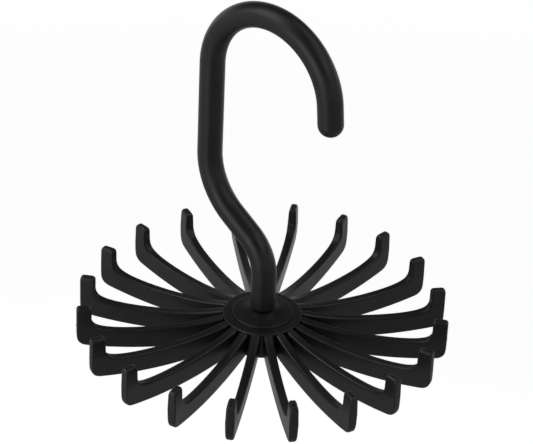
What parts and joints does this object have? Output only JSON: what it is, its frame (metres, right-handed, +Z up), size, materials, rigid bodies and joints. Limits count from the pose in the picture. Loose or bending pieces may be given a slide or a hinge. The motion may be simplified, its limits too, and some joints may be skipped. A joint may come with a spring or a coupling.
{
  "type": "tie hanger",
  "caption": "Rotating tie hanger: a bent rod hook over a turning hub with a ring of thin radial arms, each with an upturned tip that keeps a tie on.",
  "frame": {"origin": "the crest inside the hook's arch, where it sits on top of a closet rod", "axes": "+Z up; the hook lies in the XZ plane with its open side towards +X, so the closet rod runs along Y; the hub turns about a vertical axis 0.9 mm towards +X of the origin"},
  "size_m": [0.1147, 0.1148, 0.1154],
  "materials": {
    "hook_plastic": "satin moulded black",
    "hub_plastic": "satin moulded black",
    "arm_plastic": "satin moulded black",
    "zinc_steel": "zinc plated"
  },
  "bodies": {
    "hook_body": {"hook": "hook_plastic", "pivot_screw": "zinc_steel", "thrust_washer": "zinc_steel"},
    "rotor": {"hub_cap": "hub_plastic", "hub_core": "hub_plastic", "base_plug": "hub_plastic", "arm_01": "arm_plastic", "arm_02": "arm_plastic", "arm_03": "arm_plastic", "arm_04": "arm_plastic", "arm_05": "arm_plastic", "arm_06": "arm_plastic", "arm_07": "arm_plastic", "arm_08": "arm_plastic", "arm_09": "arm_plastic", "arm_10": "arm_plastic", "arm_11": "arm_plastic", "arm_12": "arm_plastic", "arm_13": "arm_plastic", "arm_14": "arm_plastic", "arm_15": "arm_plastic", "arm_16": "arm_plastic", "arm_17": "arm_plastic", "arm_18": "arm_plastic", "arm_19": "arm_plastic", "arm_20": "arm_plastic"}
  },
  "joints": [
    {"name": "rotor_spin", "type": "hinge", "parent": "hook_body", "child": "rotor", "pos_m": [0.00088, 0, -0.1], "axis": [0, 0, 1], "continuous": true}
  ]
}
